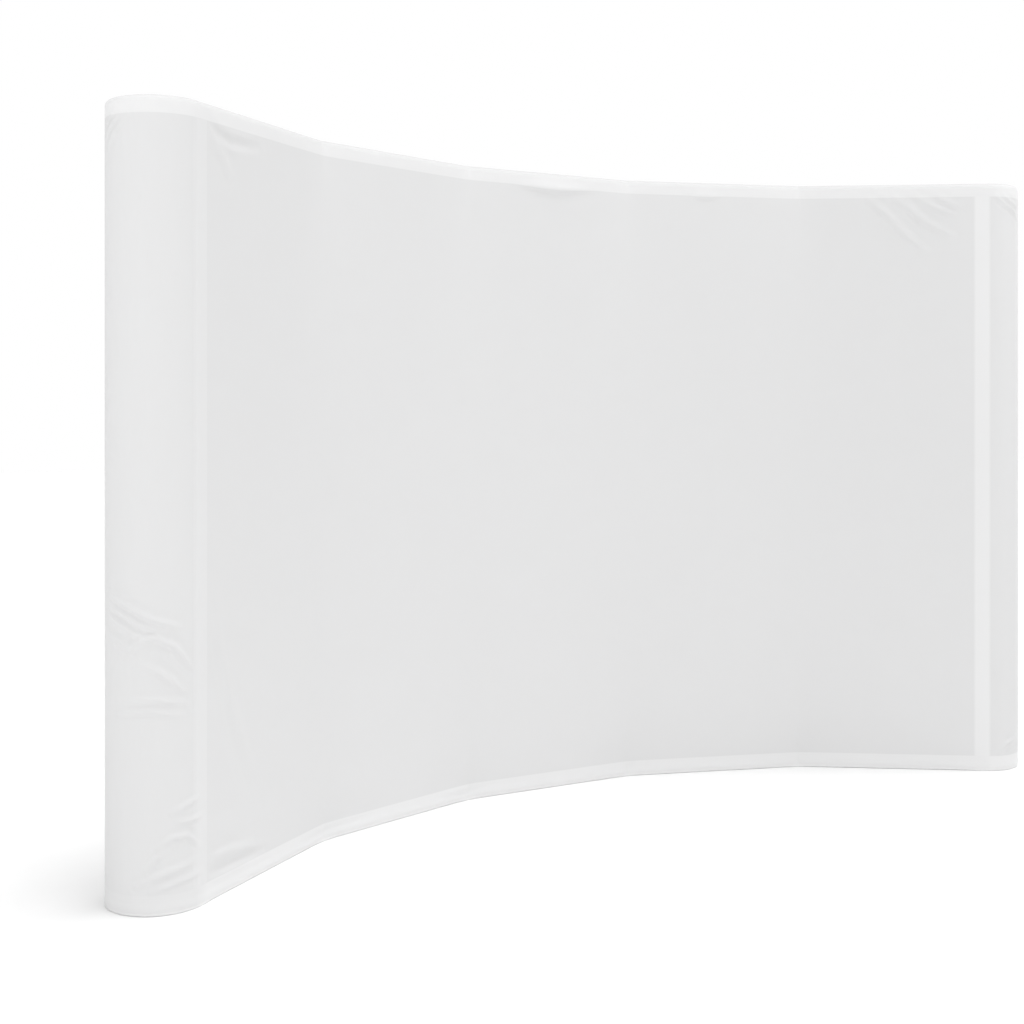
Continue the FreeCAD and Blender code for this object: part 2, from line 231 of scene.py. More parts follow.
def mixed_colour(add, share, first, second):
    """A colour that goes from the first to the second as a share goes from 0 to 1."""
    return add("ShaderNodeMix", {"Factor": share, 6: first, 7: second}, data_type="RGBA").outputs[2]


def foot_finish():
    """Plastic pad below, threaded plated stem above."""
    material, shader, add, link = start_material("levelling_foot")
    place = add("ShaderNodeTexCoord").outputs["Object"]
    height = add("ShaderNodeSeparateXYZ", {"Vector": place}).outputs["Z"]
    on_stem = math_node(add, "GREATER_THAN", height, pad_top)
    grain = noise(add, place, pad_grain_scale, 2.0)
    nylon = two_tone(add, noise(add, place, scuff_scale), pad_scuffed, pad_white, *scuff_range)
    plated = two_tone(add, noise(add, place, zinc_cloud_scale), zinc_dark, zinc_light)
    link(mixed_colour(add, on_stem, nylon, plated), "Base Color")
    link(on_stem, "Metallic")
    link(between(add, on_stem, pad_rough, zinc_rough), "Roughness")
    thread = math_node(add, "SINE", math_node(add, "MULTIPLY", height, 2 * math.pi / thread_pitch))
    relief = add("ShaderNodeMix", {"Factor": on_stem, "A": grain, "B": thread}, data_type="FLOAT").outputs[0]
    link(bumps(add, relief, *foot_relief), "Normal")
    return material


dress([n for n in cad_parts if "_foot_" in n], foot_finish())

# Banner
# One piece of white warp-knit polyester with a pole pocket sewn along its top and its bottom edge,
# which shows as a lighter double band. It is pulled over the rails and round both ends, and the
# knit stretches smoothly across the corners between the bays.
cloth_lift = 0.0007
band_height = 0.052
pocket_tuck = 0.0012
bend_lead = 0.020
tail_reach = 0.0163
edge_reach = 0.0052
notch_reach = 0.018
stem_reach = 0.007
hem_gap = 0.0201
plain_bay_step = 0.022
creased_bay_step = 0.009
plain_row_step = 0.026
creased_row_step = 0.0075
left_bend_step = 0.006
right_bend_step = 0.008
creased_heights = [(0.05, 0.34), (0.54, 0.93), (2.04, 2.25)]
creased_bay_parts = [[(0.0, 0.42)], [], [(0.14, 0.58)], [(0.24, 0.40)], [(0.25, 0.66)]]
floor_clear = 0.0008
skirt_reach = 0.0182
skirt_plain_from = 0.055
skirt_full_to = 0.020
skirt_least = 0.75
skirt_turn_deg = 65.0
grading_points = 4001
band_rows = 5
pocket_back_rows = 4
pocket_angles_deg = (195.0, 180.0 - skirt_turn_deg, skirt_turn_deg, 0.0)
pocket_steps = (2, 5, 3, 4)
notch_rows_deep = 6
front_upright_count = 6
knit_ratio = 16.0
saddle_waves = 42
single_white = (0.697, 0.697, 0.699, 1.0)
double_white = (0.765, 0.765, 0.767, 1.0)
# Painted shade: the next colour darkens the cloth where it lies over the top of the top rail, as if less
# lit.
rail_top_painted_shade = (0.590, 0.590, 0.592, 1.0)
# Painted light: the next colour lightens the underside of the bottom pocket, where it turns under the rail
# toward the floor and shade falls.
underside_painted_light = (0.880, 0.880, 0.880, 1.0)

low_rail, high_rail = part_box("bottom_rail_3"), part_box("top_rail_3")
bottom_height = (low_rail[0].z + low_rail[1].z) / 2
top_height = (high_rail[0].z + high_rail[1].z) / 2
cloth_radius = (low_rail[1].z - low_rail[0].z) / 2 + cloth_lift


def middle(name):
    """Plan position of the middle of a CAD piece."""
    low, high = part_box(name)
    return np.array([(low.x + high.x) / 2, (low.y + high.y) / 2])


def unit(vector):
    return vector / np.linalg.norm(vector)


def graded(low, high, plain_step, creased_step, creased_parts):
    """Places from low to high, closer together where the cloth is creased."""
    places = np.linspace(low, high, grading_points)
    step = np.full(len(places), plain_step)
    for a, b in creased_parts:
        step[(places > a) & (places < b)] = creased_step
    count = np.concatenate([[0.0], np.cumsum(np.diff(places) * 2 / (step[:-1] + step[1:]))])
    return np.interp(np.linspace(0, count[-1], round(count[-1]) + 1), count, places)


# Where the columns of the cloth stand: rail point, outward direction and mitre of each
corner_points = [middle("front_foot_%d" % (i + 1)) for i in range(front_upright_count)]
bay_directions = [unit(b - a) for a, b in zip(corner_points[:-1], corner_points[1:])]
corner_turn = math.acos(float(bay_directions[0] @ bay_directions[1]))


def end_columns(front, back, along, bend_step):
    """Columns from the back edge round one end to its front corner, with the corner left out."""
    outward = (front - back) / np.linalg.norm(front - back)
    radius = np.linalg.norm(front - back) / 2
    axis = (front + back) / 2 - along * bend_lead
    columns = []
    for reach in (tail_reach, edge_reach, 0.0, -stem_reach, -notch_reach):
        columns.append((back + along * reach, -outward, 1.0))
    steps = round(math.pi * (radius + cloth_radius) / bend_step)
    for angle in np.linspace(math.pi, 0, steps + 1):
        normal = math.cos(angle) * outward - math.sin(angle) * along
        columns.append((axis + radius * normal, normal, 1.0))
    for reach in (notch_reach, stem_reach):
        columns.append((front - along * reach, outward, 1.0))
    return columns


def bay_columns(start, end, direction, creased_parts):
    """Columns inside one straight bay, closer together at its corners and creases."""
    length = np.linalg.norm(end - start)
    normal = np.array([direction[1], -direction[0]])
    inner = graded(notch_reach, length - notch_reach, plain_bay_step, creased_bay_step, creased_parts)
    places = [stem_reach, *inner, length - stem_reach]
    return [(start + direction * place, normal, 1.0) for place in places]


columns = end_columns(corner_points[0], middle("back_foot_left"), bay_directions[0], left_bend_step)
for i, direction in enumerate(bay_directions):
    before = bay_directions[i - 1] if i else direction
    bisector = unit(before + direction)
    mitred = 1 / math.sqrt((1 + before @ direction) / 2)
    columns.append((corner_points[i], np.array([bisector[1], -bisector[0]]), mitred))
    columns += bay_columns(corner_points[i], corner_points[i + 1], direction, creased_bay_parts[i])
last = bay_directions[-1]
columns.append((corner_points[-1], np.array([last[1], -last[0]]), 1.0))
columns += end_columns(corner_points[-1], middle("back_foot_right"), -last, right_bend_step)[::-1]

rail_points = np.array([c[0] for c in columns])
outward = np.array([c[1] for c in columns])
mitre = np.array([c[2] for c in columns])


def run_lengths(points):
    """Length from the first of some points to each of them."""
    return np.concatenate([[0.0], np.cumsum(np.linalg.norm(np.diff(points, axis=0), axis=1))])


# Cut places: u runs along the cloth from the left front corner, v down the cloth from its top back seam
face_line = rail_points + outward * (cloth_radius * mitre)[:, None]
upright_points = corner_points + [middle("back_foot_left"), middle("back_foot_right")]
upright_columns = [int(np.argmin(np.linalg.norm(rail_points - p, axis=1))) for p in upright_points]
cut_u = run_lengths(face_line)
cut_u -= cut_u[upright_columns[0]]
corner_u = cut_u[upright_columns[:front_upright_count]]
rail_run = run_lengths(rail_points)


def pocket_profile():
    """Half of the section, as forward places and heights above the rail: back layer, then over the rail."""
    seam = np.array([cloth_radius - pocket_tuck, cloth_radius - band_height])
    distance = np.linalg.norm(seam)
    leave = math.atan2(seam[1], seam[0]) - math.acos(cloth_radius / distance) + 2 * math.pi
    touch = cloth_radius * np.array([math.cos(leave), math.sin(leave)])
    back_layer = [seam + (touch - seam) * t for t in np.linspace(0, 1, pocket_back_rows + 1)[:-1]]
    stops = [leave] + [math.radians(a) for a in pocket_angles_deg]
    angles = [np.linspace(a, b, n + 1)[:-1] for a, b, n in zip(stops[:-1], stops[1:], pocket_steps)]
    angles = np.concatenate(angles + [stops[-1:]])
    over = [cloth_radius * np.array([math.cos(a), math.sin(a)]) for a in angles]
    return np.array(back_layer + over)


pocket = pocket_profile()
seam_drop = band_height - cloth_radius
bottom_hang = np.where(pocket[:, 1] > 0, (bottom_height - floor_clear) / cloth_radius, 1.0)
top_seam, bottom_seam = top_height - seam_drop, bottom_height + seam_drop
front_heights = np.concatenate([
    np.linspace(top_height, top_seam, band_rows)[1:-1],
    graded(bottom_seam, top_seam, plain_row_step, creased_row_step, creased_heights)[::-1],
    np.linspace(bottom_seam, bottom_height, band_rows)[1:-1],
])
row_forward = np.concatenate([pocket[:, 0], np.full(len(front_heights), cloth_radius), pocket[::-1, 0]])
row_height = np.concatenate([top_height + pocket[:, 1], front_heights,
                             bottom_height - (pocket[:, 1] * bottom_hang)[::-1]])
cut_v = run_lengths(np.stack([row_forward, row_height], 1))
row_count, column_count = len(row_height), len(columns)
bottom_turn = np.degrees(np.arctan2(pocket[::-1, 1], pocket[::-1, 0]))
top_seam_row, bottom_seam_row = len(pocket) + band_rows - 2, row_count - len(pocket) - band_rows + 1
on_front = (np.arange(row_count) >= len(pocket) - 1) & (np.arange(row_count) <= row_count - len(pocket))


def saddle():
    """How far the stretched knit stands in front of the straight bays, for every column and row."""
    height = top_height - bottom_height
    share = np.clip((row_height - bottom_height) / height, 0, 1)
    stand = np.zeros((column_count, row_count))
    for n in range(1, saddle_waves, 2):
        pull = n * math.pi / height * math.sqrt(knit_ratio)
        reach = sum(np.exp(-pull * np.abs(cut_u - place)) for place in corner_u[1:-1])
        wave = np.sin(n * math.pi * share) * 4 / (n * math.pi)
        stand += np.outer(reach * corner_turn / (2 * pull), wave)
    return stand * on_front


# Creases where the cloth is pulled askew: points on the cut (u, height), half width and lift. A lift below
# zero is a valley.
creases = [
    ([(-0.360, 2.215), (-0.320, 2.240), (-0.290, 2.255)], 0.0075, 0.0040),
    ([(-0.345, 2.190), (-0.310, 2.220), (-0.270, 2.245)], 0.0080, 0.0046),
    ([(-0.330, 2.165), (-0.285, 2.210), (-0.245, 2.240)], 0.0085, 0.0040),
    ([(-0.335, 0.905), (-0.250, 0.870), (-0.175, 0.830), (-0.095, 0.805)], 0.0090, 0.0048),
    ([(-0.335, 0.875), (-0.260, 0.845), (-0.200, 0.815), (-0.125, 0.790)], 0.0085, 0.0046),
    ([(-0.335, 0.840), (-0.275, 0.820), (-0.220, 0.790), (-0.175, 0.780)], 0.0085, 0.0040),
    ([(-0.315, 0.790), (-0.260, 0.765), (-0.225, 0.740)], 0.0090, 0.0034),
    ([(-0.245, 0.725), (-0.205, 0.765), (-0.160, 0.780), (-0.105, 0.750), (-0.055, 0.690)], 0.0090, 0.0048),
    ([(-0.205, 0.710), (-0.150, 0.685), (-0.080, 0.625)], 0.0090, 0.0040),
    ([(-0.250, 0.600), (-0.160, 0.605), (-0.075, 0.590)], 0.0090, 0.0032),
    ([(-0.280, 0.565), (-0.175, 0.575), (-0.085, 0.555)], 0.0090, 0.0030),
    ([(-0.115, 0.285), (-0.070, 0.300), (-0.015, 0.315)], 0.0080, 0.0034),
    ([(-0.095, 0.255), (-0.050, 0.255), (0.005, 0.260)], 0.0075, 0.0036),
    ([(-0.150, 0.185), (-0.115, 0.215), (-0.065, 0.215), (-0.005, 0.170)], 0.0080, 0.0036),
    ([(-0.185, 0.125), (-0.160, 0.160), (-0.130, 0.180)], 0.0075, 0.0034),
    ([(-0.215, 0.085), (-0.130, 0.120), (-0.035, 0.140)], 0.0085, 0.0038),
    ([(-0.175, 0.070), (-0.095, 0.090), (-0.005, 0.100)], 0.0080, 0.0036),
    ([(-0.035, 0.070), (-0.035, 2.235)], 0.0055, -0.0012),
    ([(0.020, 2.260), (0.075, 2.220), (0.150, 2.205), (0.300, 2.210)], 0.0140, -0.0034),
    ([(0.050, 2.190), (0.110, 2.150), (0.165, 2.080)], 0.0170, 0.0020),
    ([(0.025, 0.080), (0.170, 0.080), (0.340, 0.075)], 0.0120, -0.0046),
    ([(0.030, 0.120), (0.120, 0.120), (0.260, 0.110)], 0.0120, 0.0030),
    ([(0.040, 0.870), (0.150, 0.540), (0.310, 0.225)], 0.0200, 0.0024),
    ([(0.555, 0.025), (0.735, 0.035), (0.950, 0.045)], 0.0070, -0.0022),
    ([(1.265, 0.030), (1.415, 0.030), (1.515, 0.045)], 0.0070, -0.0022),
    ([(3.100, 2.240), (3.165, 2.190), (3.235, 2.120), (3.295, 2.070)], 0.0130, 0.0044),
    ([(3.205, 2.240), (3.250, 2.215), (3.320, 2.155), (3.425, 2.095)], 0.0130, 0.0048),
    ([(3.290, 2.245), (3.355, 2.210), (3.430, 2.180)], 0.0115, 0.0042),
    ([(3.370, 2.245), (3.415, 2.225), (3.455, 2.210)], 0.0105, 0.0034),
    ([(3.155, 2.160), (3.270, 2.075), (3.370, 2.000)], 0.0140, 0.0030),
    ([(3.585, 2.255), (3.630, 2.220), (3.705, 2.190)], 0.0080, 0.0040),
    ([(3.620, 2.255), (3.660, 2.230), (3.720, 2.210)], 0.0075, 0.0036),
    ([(3.645, 2.220), (3.680, 2.195), (3.720, 2.165)], 0.0080, 0.0034),
    ([(3.605, 0.065), (3.645, 0.105), (3.705, 0.120)], 0.0080, 0.0040),
    ([(3.620, 0.060), (3.665, 0.090), (3.720, 0.100)], 0.0075, 0.0036),
    ([(3.645, 0.060), (3.680, 0.075), (3.720, 0.080)], 0.0070, 0.0030),
]
# Places where the front of the top pocket hangs slack: middle and half length along u, drop and bulge
slack_places = [(1.790, 0.195, 0.010, 0.0070), (2.440, 0.075, 0.004, 0.0034)]
slack_above = 0.020
slack_below = 0.045
slack_taper = 1.5
lip_share = 1.6
lip_height = 0.009
hollow_share = 0.6
hollow_place = 0.012
hollow_height = 0.022
sewn_reach = 0.030
trough_share = 0.45
trough_place = 1.7
trough_width = 0.9
crease_end = 0.06
crease_taper = 0.7
far_off = 1e9


def crease_lift():
    """Lift of the cloth at its creases, for every column and row."""
    u, z = np.meshgrid(cut_u, row_height, indexing="ij")
    lift = np.zeros_like(u)
    for points, width, height in creases:
        points = np.array(points)
        runs = run_lengths(points)
        nearest = np.full(u.shape, far_off)
        along = np.zeros(u.shape)
        for i, (a, b) in enumerate(zip(points[:-1], points[1:])):
            d = b - a
            t = np.clip(((u - a[0]) * d[0] + (z - a[1]) * d[1]) / (d @ d), 0, 1)
            gap = np.hypot(u - a[0] - t * d[0], z - a[1] - t * d[1])
            closer = gap < nearest
            nearest = np.where(closer, gap, nearest)
            along = np.where(closer, (runs[i] + t * (runs[i + 1] - runs[i])) / runs[-1], along)
        trough = trough_share * np.exp(-((nearest / width - trough_place) / trough_width) ** 2)
        ridge = np.exp(-(nearest / width) ** 2) - trough
        taper = np.sin(math.pi * np.clip(along, crease_end, 1 - crease_end)) ** crease_taper
        lift += height * ridge * taper
    on_sleeve = np.min(np.abs(u[..., None] - corner_u[[0, -1]]), axis=2) < sewn_reach
    return np.where(on_sleeve, np.maximum(lift, 0), lift) * on_front


def slack_pockets():
    """Drop and bulge of the top pocket's front where it hangs slack, for every column and row."""
    below_seam = top_seam - row_height
    spread = np.where(below_seam > 0, slack_below, slack_above)
    drop_share = np.exp(-(below_seam / spread) ** 2) * on_front
    lip = lip_share * np.exp(-(below_seam / lip_height) ** 2)
    undercut = lip - hollow_share * np.exp(-((below_seam - hollow_place) / hollow_height) ** 2)
    bulge_share = np.where(below_seam > 0, undercut, np.exp(-(below_seam / slack_above) ** 2)) * on_front
    drop, bulge = np.zeros((column_count, row_count)), np.zeros((column_count, row_count))
    for place, half, most_drop, most_bulge in slack_places:
        share = np.cos(math.pi / 2 * np.clip((cut_u - place) / half, -1, 1)) ** slack_taper
        drop += most_drop * np.outer(share, drop_share)
        bulge += most_bulge * np.outer(share, bulge_share)
    return drop, bulge


def hanging_skirt():
    """Forward places and heights of all rows. The bottom pocket hangs to the floor, fullest at a foot."""
    forward, height = (np.repeat(row[None, :], column_count, 0) for row in (row_forward, row_height))
    from_foot = np.min(np.abs(rail_run[:, None] - rail_run[upright_columns][None, :]), axis=1)
    share = np.clip((skirt_plain_from - from_foot) / (skirt_plain_from - skirt_full_to), 0, 1)
    share = (skirt_least + (1 - skirt_least) * share ** 2 * (3 - 2 * share))[:, None]
    rows = np.arange(row_count - len(pocket), row_count)[pocket[::-1, 1] >= 0]
    turn = bottom_turn[bottom_turn >= 0]
    skirt_forward = skirt_reach * np.clip((90 - turn) / (90 - skirt_turn_deg), -1, 1)
    skirt_drop = (bottom_height - floor_clear) * np.clip(np.minimum(turn, 180 - turn) / skirt_turn_deg, 0, 1)
    forward[:, rows] += share * (skirt_forward - row_forward[rows])
    height[:, rows] += share * (bottom_height - skirt_drop - row_height[rows])
    return forward, height


bay_middles = (corner_u[:-1] + corner_u[1:]) / 2
headings = np.array([math.atan2(d[1], d[0]) for d in bay_directions])
heading = np.interp(cut_u, bay_middles, headings)
forward = np.stack([np.sin(heading), -np.cos(heading)], 1)

stand = saddle()
drop, bulge = slack_pockets()
reach, height = hanging_skirt()
out = reach * mitre[:, None] + crease_lift() + bulge
plan = (rail_points[:, None, :] + outward[:, None, :] * out[..., None]
        + forward[:, None, :] * stand[..., None])
points = np.concatenate([plan, (height - drop)[..., None]], 2).reshape(-1, 3)

# Faces, open round the uprights' necks and under the feet, and cut back where the hems take over
column_middle = (rail_run[:-1] + rail_run[1:]) / 2
from_upright = np.min(np.abs(column_middle[:, None] - rail_run[upright_columns][None, :]), axis=1)
in_notch = from_upright < notch_reach
past_edge = (column_middle < rail_run[1]) | (column_middle > rail_run[-2])
pocket_rows = np.arange(row_count - 1)
notch_rows = (pocket_rows < notch_rows_deep) | (pocket_rows >= row_count - 1 - notch_rows_deep)
row_middle = (row_height[:-1] + row_height[1:]) / 2
row_turn = np.concatenate([np.full(row_count - len(pocket), -1.0), bottom_turn])
turn_middle = (row_turn[:-1] + row_turn[1:]) / 2
foot_rows = (turn_middle > skirt_turn_deg) & (turn_middle < 180 - skirt_turn_deg)
hem_rows = (row_middle > bottom_height + hem_gap) & (row_middle < top_height - hem_gap)
open_face = ((in_notch[:, None] & notch_rows[None, :]) | (in_notch[:, None] & foot_rows[None, :])
             | (past_edge[:, None] & hem_rows[None, :]))


def sheet_mesh(name, points, cut, faces):
    """A sheet of cloth from its points, its places on the cut and its faces."""
    mesh = bpy.data.meshes.new(name)
    mesh.from_pydata(points.tolist(), [], faces)
    layer = mesh.uv_layers.new(name="cut")
    corner_points_of = np.zeros(len(mesh.loops), np.int32)
    mesh.loops.foreach_get("vertex_index", corner_points_of)
    layer.data.foreach_set("uv", cut[corner_points_of].astype(np.float32).ravel())
    piece = bpy.data.objects.new(name, mesh)
    bpy.context.scene.collection.objects.link(piece)
    bpy.context.view_layer.objects.active = piece
    piece.select_set(True)
    bpy.ops.object.mode_set(mode="EDIT")
    bpy.ops.mesh.select_mode(type="VERT")
    bpy.ops.mesh.select_all(action="SELECT")
    bpy.ops.mesh.delete_loose()
    bpy.ops.object.mode_set(mode="OBJECT")
    bpy.ops.object.shade_smooth()
    piece.select_set(False)
    return piece


faces = []
for i in range(column_count - 1):
    for j in range(row_count - 1):
        if not open_face[i, j]:
            a = i * row_count + j
            faces.append((a, a + 1, a + row_count + 1, a + row_count))
cut = np.stack(np.meshgrid(cut_u, cut_v, indexing="ij"), 2).reshape(-1, 2)
banner = sheet_mesh("banner_sheet", points, cut, faces)

top_band_v, bottom_band_v = float(cut_v[top_seam_row]), float(cut_v[bottom_seam_row])
top_fold_v, bottom_fold_v = float(cut_v[len(pocket) - 1]), float(cut_v[row_count - len(pocket)])
fold_reach = cloth_radius * math.pi / 2
band_edge = 0.0015
# Painted shade: the bottom band's lighter double tone is dimmed at the left end, where the band lies in
# shade.
painted_shade_band_u = (-0.03, 0.03)
painted_shade_band_share = 0.25
left_stripe_share = 0.36
left_stripe_soft_edge = (-0.047, -0.026)
left_stripe_crisp_edge = (0.0230, 0.0205)
right_stripe_half = 0.029
right_stripe_edge = 0.006
stitch_insets = (0.003, 0.0085)
stitch_half = 0.0005
stitch_pitch = 0.003
stitch_share = 0.72
# Stitch dashes are painted darker, a painted shade for their holes; the thread is as white as the cloth.
stitch_painted_shade = 0.35
stitch_sink = -4.0
wale_pitch = 0.0011
course_pitch = 0.0009
slub_scale = (60.0, 900.0, 1.0)
slub_shade = 0.03
cloth_cloud_scale = 5.0
cloth_cloud_shade = 0.05
full_double = 1.05
cloth_rough = (0.78, 0.92)
cloth_relief = (0.08, 0.00008)
cloth_sheen = {"Sheen Weight": 0.08, "Sheen Roughness": 0.4, "Specular IOR Level": 0.25}


def stitch_dashes(add, run):
    """One where a stitch lies along a seam, and zero between stitches."""
    return math_node(add, "LESS_THAN",
                     math_node(add, "FRACT", math_node(add, "DIVIDE", run, stitch_pitch)), stitch_share)


def stretch_cloth(name, sewn):
    """White warp-knit polyester with wales and courses. Sewn cloth also has bands, stripes and stitches."""
    material, shader, add, link = start_material(name)
    place = add("ShaderNodeUVMap", uv_map="cut").outputs["UV"]
    split = add("ShaderNodeSeparateXYZ", {"Vector": place})
    u, v = split.outputs["X"], split.outputs["Y"]
    clouds = noise(add, place, cloth_cloud_scale, 2.0)
    slubs = noise(add, stretched(add, place, slub_scale), 1.0)
    wales = math_node(add, "SINE", math_node(add, "MULTIPLY", u, 2 * math.pi / wale_pitch))
    courses = math_node(add, "SINE", math_node(add, "MULTIPLY", v, 2 * math.pi / course_pitch))
    knit = math_node(add, "MULTIPLY_ADD", wales, courses, slubs)
    slub_tone = math_node(add, "MULTIPLY", slubs, slub_shade)
    tone = math_node(add, "MULTIPLY_ADD", clouds, cloth_cloud_shade, slub_tone)
    if sewn:
        def ramp(value, start, end, low=0.0, high=1.0):
            return add("ShaderNodeMapRange", {"Value": value, "From Min": start, "From Max": end,
                                              "To Min": low, "To Max": high}).outputs["Result"]

        top_band = ramp(v, top_band_v + band_edge, top_band_v - band_edge)
        # The bottom band is painted darker at the left end, a painted shade.
        bottom_band = math_node(add, "MULTIPLY", ramp(u, *painted_shade_band_u, painted_shade_band_share, 1.0),
                                ramp(v, bottom_band_v - band_edge, bottom_band_v + band_edge))
        left_stripe = math_node(add, "MULTIPLY", ramp(u, *left_stripe_soft_edge, 0.0, left_stripe_share),
                                ramp(u, *left_stripe_crisp_edge))
        from_right = math_node(add, "ABSOLUTE", math_node(add, "SUBTRACT", u, float(corner_u[-1])))
        right_stripe = ramp(from_right, right_stripe_half + right_stripe_edge,
                            right_stripe_half - right_stripe_edge)
        double = math_node(add, "MAXIMUM", math_node(add, "MAXIMUM", top_band, bottom_band),
                           math_node(add, "MAXIMUM", left_stripe, right_stripe))
        into_band = math_node(add, "MAXIMUM", math_node(add, "SUBTRACT", top_band_v, v),
                              math_node(add, "SUBTRACT", v, bottom_band_v))
        rows = [math_node(add, "COMPARE", into_band, inset, stitch_half) for inset in stitch_insets]
        stitches = math_node(add, "MULTIPLY", stitch_dashes(add, u), math_node(add, "MAXIMUM", *rows))
        # Stitches are painted darker here, a painted shade.
        tone = math_node(add, "SUBTRACT", math_node(add, "ADD", double, tone),
                         math_node(add, "MULTIPLY", stitches, stitch_painted_shade))
        knit = math_node(add, "MULTIPLY_ADD", stitches, stitch_sink, knit)
    colour = two_tone(add, tone, single_white, double_white, 0.0, full_double)
    if sewn:
        # Painted shade over the top of the top rail: the cloth is coloured darker there.
        painted_shade_over_rail = ramp(v, top_fold_v, top_fold_v - fold_reach)
        # Painted light on the underside of the bottom pocket, where it turns under the rail to the floor.
        painted_light_under_rail = ramp(v, bottom_fold_v + fold_reach / 2, bottom_fold_v + fold_reach)
        colour = mixed_colour(add, painted_shade_over_rail, colour, rail_top_painted_shade)
        colour = mixed_colour(add, painted_light_under_rail, colour, underside_painted_light)
    link(colour, "Base Color")
    link(between(add, slubs, *cloth_rough), "Roughness")
    link(bumps(add, knit, *cloth_relief), "Normal")
    for socket, value in cloth_sheen.items():
        shader.inputs[socket].default_value = value
    return material


banner.data.materials.append(stretch_cloth("banner_cloth", True))
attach(banner, "frame")
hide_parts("banner")

# Corner sleeves
# Strips of the same cloth, sewn by their two edges to the back of the banner at each end of its
# front, behind the lighter stripes. Each closes round a front upright and keeps the cloth
# from sliding along the rails. A hole at the back lets a thumb reach the spring button.
sleeve_half = 0.029
layer_step = 0.0008
sleeve_clear = 0.0012
sleeve_side_cells = 3
sewn_inner = 0.024
turn_reach = 0.002
turn_sinks = (0.0001, 0.0004, 0.0030)
end_round_across = 0.287
band_clear = 0.002
button_hole = 0.012
hole_block = 0.015
hole_cells = 4
seam_row_step = 0.030


def rows_round_hole(low, high, hole_height):
    """Heights of a strip's rows, with closer rows round the hole."""
    below = round((hole_height - hole_block - low) / seam_row_step)
    above = round((high - hole_height - hole_block) / seam_row_step)
    return np.concatenate([np.linspace(low, hole_height - hole_block, below + 1)[:-1],
                           np.linspace(hole_height - hole_block, hole_height + hole_block, hole_cells + 1),
                           np.linspace(hole_height + hole_block, high, above + 1)[1:]])


def strip_with_hole(name, section, run, heights, hole_run, hole_height):
    """An upright strip of cloth on a plan section, with a round hole in its back."""
    count = len(heights)
    plan = np.repeat(section, count, axis=0)
    points = np.concatenate([plan, np.tile(heights, len(section))[:, None]], 1)
    cut = np.stack(np.meshgrid(run, heights, indexing="ij"), 2).reshape(-1, 2)
    left = int(np.argmin(np.abs(run - (hole_run - hole_block))))
    foot = int(np.argmin(np.abs(heights - (hole_height - hole_block))))
    faces = [(i * count + j, i * count + j + 1, (i + 1) * count + j + 1, (i + 1) * count + j)
             for i in range(len(run) - 1) for j in range(count - 1)
             if not (left <= i < left + hole_cells and foot <= j < foot + hole_cells)]
    cells = range(hole_cells)
    back_cells = range(hole_cells, 0, -1)
    frame_places = ([(i, 0) for i in cells] + [(hole_cells, j) for j in cells]
                    + [(i, hole_cells) for i in back_cells] + [(0, j) for j in back_cells])
    rim = [(left + i) * count + foot + j for i, j in frame_places]
    edge_cut, edge_points = [], []
    for index in rim:
        offset = cut[index] - (hole_run, hole_height)
        place = np.array([hole_run, hole_height]) + offset * button_hole / np.linalg.norm(offset)
        edge_cut.append(place)
        edge_points.append([np.interp(place[0], run, section[:, 0]),
                            np.interp(place[0], run, section[:, 1]), place[1]])
    first = len(points)
    for k in range(len(rim)):
        n = (k + 1) % len(rim)
        faces.append((rim[k], first + k, first + n, rim[n]))
    return sheet_mesh(name, np.concatenate([points, edge_points]), np.concatenate([cut, edge_cut]), faces)


def sleeve_section(along, out):
    """Plan of a sleeve round a front upright: sewn edge, leg, round back, leg and sewn edge."""
    layer = cloth_radius - layer_step
    round_radius = cloth_radius + sleeve_clear
    half_round = math.pi * round_radius / 2
    runs = np.concatenate([np.linspace(-half_round, -hole_block, sleeve_side_cells + 1)[:-1],
                           np.linspace(-hole_block, hole_block, hole_cells + 1),
                           np.linspace(hole_block, half_round, sleeve_side_cells + 1)[1:]])
    angles = runs / round_radius
    back = [(round_radius * math.sin(a), -round_radius * math.cos(a)) for a in angles]
    edge = [(sleeve_half, layer - (sleeve_half - bend_lead) ** 2 / end_round_across),
            (sewn_inner, layer - turn_sinks[0]),
            (round_radius + turn_reach, layer - turn_sinks[1]),
            (round_radius, layer - turn_sinks[2]),
            (round_radius, layer / 2)]
    local = [(-x, y) for x, y in edge] + back + edge[::-1]
    return np.array([along * x + out * y for x, y in local])


sleeve_cloth = stretch_cloth("sleeve_cloth", False)
sleeve_low = bottom_height - cloth_radius + band_height + band_clear
sleeve_high = top_height + cloth_radius - band_height - band_clear
for side, upright, corner, along in (("left", "front_upright_1", corner_points[0], bay_directions[0]),
                                     ("right", "front_upright_6", corner_points[-1], bay_directions[-1])):
    section = sleeve_section(along, np.array([along[1], -along[0]]))
    run = run_lengths(section)
    middle_run = run[len(run) // 2]
    height = sum(c.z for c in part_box(upright + "_button")) / 2
    sleeve = strip_with_hole("corner_sleeve_" + side, section + corner, run,
                             rows_round_hole(sleeve_low, sleeve_high, height), middle_run, height)
    sleeve.data.materials.append(sleeve_cloth)
    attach(sleeve, "frame")
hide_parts("corner_sleeves")

# Back hems
# The banner's two back edges are turned in and zipped shut round the back uprights, which hold the
# round ends open. The spring buttons are reached through holes on the inner side.
hem_seam = 0.006
hem_start = 0.0095
hem_stop = 0.012
hem_side_cells = 5


